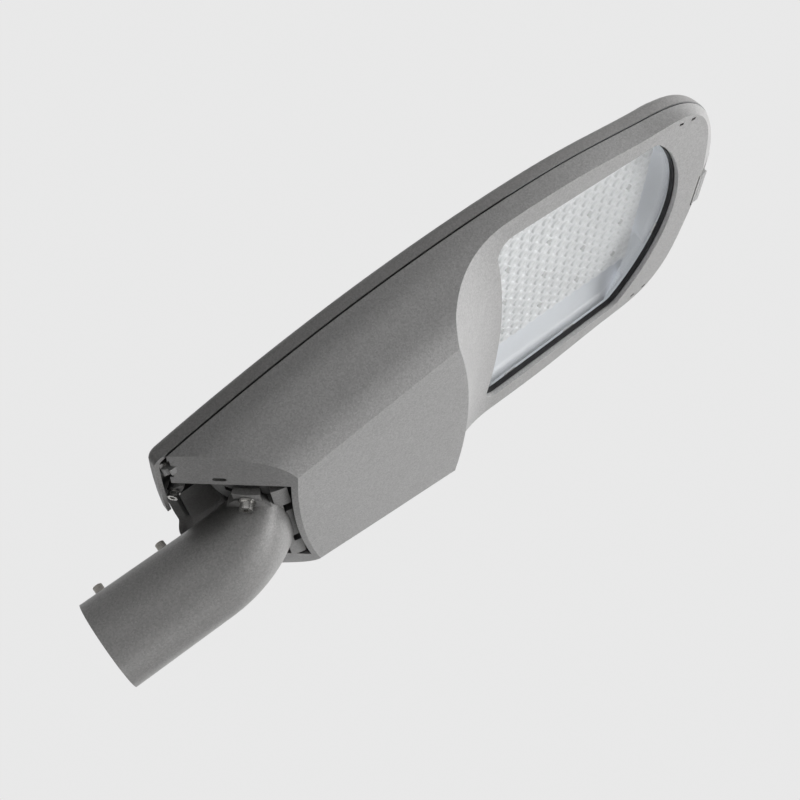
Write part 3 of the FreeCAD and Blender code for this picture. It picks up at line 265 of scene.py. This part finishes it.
def white_painted_light_inside(material, white, strength):
    """A white colour and a faint painted glow on the housing's inner faces round the lamp chamber.

    It is a guess, and both are painted light. The sheet skirt is open at both front corners of the
    window, and this wall shows there; the white and the glow keep the far opening from reading as
    a dark patch.
    """
    tree = material.node_tree
    here = tree.nodes.new("ShaderNodeTexCoord")
    spot = add(tree, "SeparateXYZ")
    tree.links.new(here.outputs["Object"], spot.inputs[0])
    steps = []
    for operation, value in (("SUBTRACT", (CHAMBER_MID_X, 0, 0)), ("MULTIPLY", (1, 1, 0)),
                             ("NORMALIZE", None), ("ADD", (0, 0, 1)), ("DOT_PRODUCT", None)):
        step = add(tree, "VectorMath", operation=operation)
        if value is not None:
            step.inputs[1].default_value = value
        tree.links.new(steps[-1].outputs[0] if steps else here.outputs["Object"], step.inputs[0])
        steps.append(step)
    tree.links.new(here.outputs["Normal"], steps[-1].inputs[1])
    inward = ranged(tree, steps[-1].outputs["Value"], -0.2, -0.1, 1.0, 0.0)
    ahead = ranged(tree, spot.outputs["X"], CHAMBER_REAR_X, CHAMBER_REAR_X + 0.01, 0.0, 1.0)
    above = ranged(tree, spot.outputs["Z"], RIM_Z, RIM_Z + 0.0005, 0.0, 1.0)
    inside = times(tree, times(tree, inward, ahead), above)
    shader = tree.nodes["Principled BSDF"]
    mixed = add(tree, "Mix", data_type="RGBA")
    tree.links.new(inside, mixed.inputs["Factor"])
    tree.links.new(shader.inputs["Base Color"].links[0].from_socket, mixed.inputs[6])
    mixed.inputs[7].default_value = (white, white, white, 1)
    tree.links.new(mixed.outputs[2], shader.inputs["Base Color"])
    glowing(material, SKIRT_GLOW, 0.0)
    tree.links.new(times(tree, inside, strength), shader.inputs["Emission Strength"])
    return material


def dress(names, material):
    """Every CAD node that is named gets the finish."""
    for name in names.split():
        mesh = nodes[name].data
        mesh.materials.clear()
        mesh.materials.append(material)


cover_coat = surfaced("cover_coat", powder, (0.5, 0.496, 0.493), 0.44, grain=560.0)
dress("lower_cover", painted_recess_shade(cover_coat, reach=0.012, darkest=0.2))
housing_coat = surfaced("housing_coat", powder, (0.42, 0.413, 0.408), 0.44, grain=560.0)
painted_recess_shade(housing_coat, reach=0.03, darkest=0.1)
dress("upper_housing", white_painted_light_inside(housing_coat, white=0.85, strength=0.3))
spigot_coat = surfaced("spigot_coat", powder, (0.41, 0.405, 0.4), 0.38, metallic=0.1, grain=560.0)
dress("spigot_elbow", painted_recess_shade(spigot_coat, reach=0.03, darkest=0.15))
dress("front_latch", surfaced("latch_coat", powder, (0.56, 0.558, 0.555), 0.4, grain=560.0))

# Tilt saddle and clamp blocks. They are rough aluminium castings, tumbled and left bare,
# screwed up under the housing's roof. Their colour is made dark as painted shade for the dim space
# they sit in, with more painted shade in recesses.

casting_in_painted_shade = surfaced("casting_in_painted_shade", powder, (0.2, 0.2, 0.198), 0.55,
                        metallic=0.4, grain=420.0, depth=0.00016)
dress("tilt_saddle tilt_clamp_blocks", painted_recess_shade(casting_in_painted_shade, reach=0.05, darkest=0.12))

# Screws, washers, clips and pins. All are zinc-plated steel, turned or stamped, with
# fine tool marks round them and a thin dull film. The board's screws get a pale colour and a faint
# glow as painted glints.

plated, given, result = new_group("turned_plating", SURFACE_IN, SURFACE_OUT)
place = object_place(plated)
stretch = add(plated, "Mapping")
stretch.inputs["Scale"].default_value = (1.0, 1.0, 7.0)
plated.links.new(place, stretch.inputs["Vector"])
marks = add(plated, "TexNoise", Detail=3.0, Roughness=0.7)
film = add(plated, "TexNoise", Scale=260.0, Detail=4.0)
plated.links.new(given.outputs["Grain Scale"], marks.inputs["Scale"])
plated.links.new(stretch.outputs[0], marks.inputs["Vector"])
plated.links.new(place, film.inputs["Vector"])
give_out(plated, given, result,
         shade=ranged(plated, film.outputs["Fac"], 0.35, 0.7, 1.08, 0.72),
         wear=ranged(plated, film.outputs["Fac"], 0.3, 0.7, 0.75, 1.35),
         relief=marks.outputs["Fac"])

dress("tilt_clamp_screws tilt_clamp_washers saddle_screws earth_screw gear_tray_screws"
      " hinge_pins glass_clips glass_clip_screws latch_pin",
      surfaced("plated_steel", plated, (0.63, 0.62, 0.6), 0.26, metallic=1.0, depth=0.00003))
# The board's screws: a pale colour and a faint glow, as painted glints.
screw_with_painted_glint = surfaced("screw_with_painted_glint", plated, (0.92, 0.92, 0.92), 0.22,
                        metallic=0.2, depth=0.00002)
dress("lens_screws", glowing(screw_with_painted_glint, (0.92, 0.92, 0.92), 0.12))

# Set screws. The two that hold the pole end are darker, with a rolled thread that shows
# as close rings where they stand out of the spigot.

stud_steel = surfaced("threaded_steel", plated, (0.42, 0.4, 0.37), 0.36,
                      metallic=1.0, grain=700.0, depth=0.00003)
tree = stud_steel.node_tree
thread = add(tree, "TexWave", bands_direction="Z", Scale=250.0, Distortion=0.0)
tree.links.new(object_place(tree), thread.inputs["Vector"])
rings = add(tree, "Bump", Strength=0.9, Distance=0.0006)
tree.links.new(thread.outputs["Fac"], rings.inputs["Height"])
tree.links.new(tree.nodes["Bump"].outputs["Normal"], rings.inputs["Normal"])
tree.links.new(rings.outputs["Normal"], tree.nodes["Principled BSDF"].inputs["Normal"])
dress("pole_set_screws", stud_steel)

# Seals. The glass sits in a moulded black rubber channel; a thin black silicone cord
# lies in the seam between the two castings.

moulded, given, result = new_group("moulded_skin", SURFACE_IN, SURFACE_OUT)
place = object_place(moulded)
fine = add(moulded, "TexNoise", Detail=3.0)
cloud = add(moulded, "TexNoise", Scale=24.0, Detail=4.0)
moulded.links.new(given.outputs["Grain Scale"], fine.inputs["Scale"])
for texture in (fine, cloud):
    moulded.links.new(place, texture.inputs["Vector"])
give_out(moulded, given, result,
         shade=ranged(moulded, cloud.outputs["Fac"], 0.3, 0.7, 0.965, 1.035),
         wear=ranged(moulded, cloud.outputs["Fac"], 0.3, 0.7, 0.85, 1.15),
         relief=fine.outputs["Fac"])

dress("glass_gasket", surfaced("black_rubber", moulded, (0.022, 0.022, 0.023), 0.62,
                               grain=700.0, depth=0.00004))
dress("seam_gasket", surfaced("seam_silicone", moulded, (0.018, 0.018, 0.018), 0.8,
                              grain=700.0, depth=0.00004))

# Light engine. A white-lacquered aluminium board carries sixteen clear moulded lens
# plates, each over a field of small LEDs; a folded, satin-painted sheet rings it.

dress("led_board", surfaced("board_lacquer", moulded, (0.9, 0.9, 0.9), 0.42,
                            grain=500.0, depth=0.00002))
# The sheet's very pale paint and its faint glow stand in for light bounced inside the chamber:
# painted light.
skirt_paint = surfaced("reflector_paint", moulded, (0.86, 0.88, 0.92), 0.5,
                       grain=600.0, depth=0.00002)
dress("reflector_frame", glowing(skirt_paint, SKIRT_GLOW, 0.14))

lens_plastic = surfaced("lens_plastic", moulded, (0.87, 0.875, 0.885), 0.3,
                        grain=300.0, depth=0.00002)
tree = lens_plastic.node_tree
shader = tree.nodes["Principled BSDF"]
chip_grid = add(tree, "TexVoronoi", Scale=160.0, Randomness=0.0)
flatten = add(tree, "VectorMath", operation="MULTIPLY")
flatten.inputs[1].default_value = (1.0, 1.0, 0.0)
tree.links.new(object_place(tree), flatten.inputs[0])
tree.links.new(flatten.outputs[0], chip_grid.inputs["Vector"])
chip = ranged(tree, chip_grid.outputs["Distance"], 0.18, 0.34, 0.9, 1.0)
tinted = scaled(tree, tree.nodes["skin"].outputs["Color"], chip)
tree.links.new(tinted, shader.inputs["Base Color"])
tree.links.new(tinted, shader.inputs["Emission Color"])
# The lens plates' faint glow is painted light on the board.
shader.inputs["Emission Strength"].default_value = 0.25
dress(" ".join("lens_module_%02d" % (index + 1) for index in range(16)), lens_plastic)

# Window. Clear toughened glass, 4 mm thick, with the least haze of dust. It lets light
# through to the board, so the chamber isn't dark behind it.

glass = bpy.data.materials.new("window_glass")
glass.use_nodes = True
tree = glass.node_tree
shader = tree.nodes["Principled BSDF"]
shader.inputs["Transmission Weight"].default_value = 1.0
shader.inputs["IOR"].default_value = 1.45
dust = add(tree, "TexNoise", Scale=18.0, Detail=6.0)
tree.links.new(object_place(tree), dust.inputs["Vector"])
tree.links.new(ranged(tree, dust.outputs["Fac"], 0.4, 0.75, 0.0, 0.03), shader.inputs["Roughness"])
tint = add(tree, "VectorMath", operation="SCALE")
tint.inputs[0].default_value = (0.985, 0.995, 0.99)
tree.links.new(ranged(tree, dust.outputs["Fac"], 0.4, 0.8, 1.0, 0.985), tint.inputs["Scale"])
tree.links.new(tint.outputs[0], shader.inputs["Base Color"])
blocked = tree.nodes.new("ShaderNodeLightPath")
passing = add(tree, "Math", operation="MAXIMUM")
tree.links.new(blocked.outputs["Is Shadow Ray"], passing.inputs[0])
tree.links.new(blocked.outputs["Is Diffuse Ray"], passing.inputs[1])
tree.links.new(ranged(tree, passing.outputs[0], 0.0, 1.0, 1.0, 0.02), shader.inputs["Alpha"])
dress("window_glass", glass)

# Gear. A zinc-plated sheet tray holds a black extruded driver between moulded end caps,
# a surge protector, a white terminal block and a nylon cable clamp.

dress("gear_tray", surfaced("zinc_sheet", plated, (0.55, 0.56, 0.57), 0.4,
                            metallic=1.0, grain=200.0, depth=0.00003))
dress("driver_case", surfaced("driver_anodised", moulded, (0.03, 0.03, 0.032), 0.4,
                              metallic=0.4, depth=0.00002))
for name, finish, paint, roughness in (
        ("driver_end_caps", "driver_cap_plastic", (0.022, 0.022, 0.022), 0.55),
        ("surge_protector", "surge_case", (0.05, 0.05, 0.055), 0.5),
        ("terminal_block", "terminal_polyamide", (0.72, 0.72, 0.69), 0.5),
        ("cable_clamp", "clamp_nylon", (0.66, 0.65, 0.62), 0.5)):
    dress(name, surfaced(finish, moulded, paint, roughness, grain=800.0))
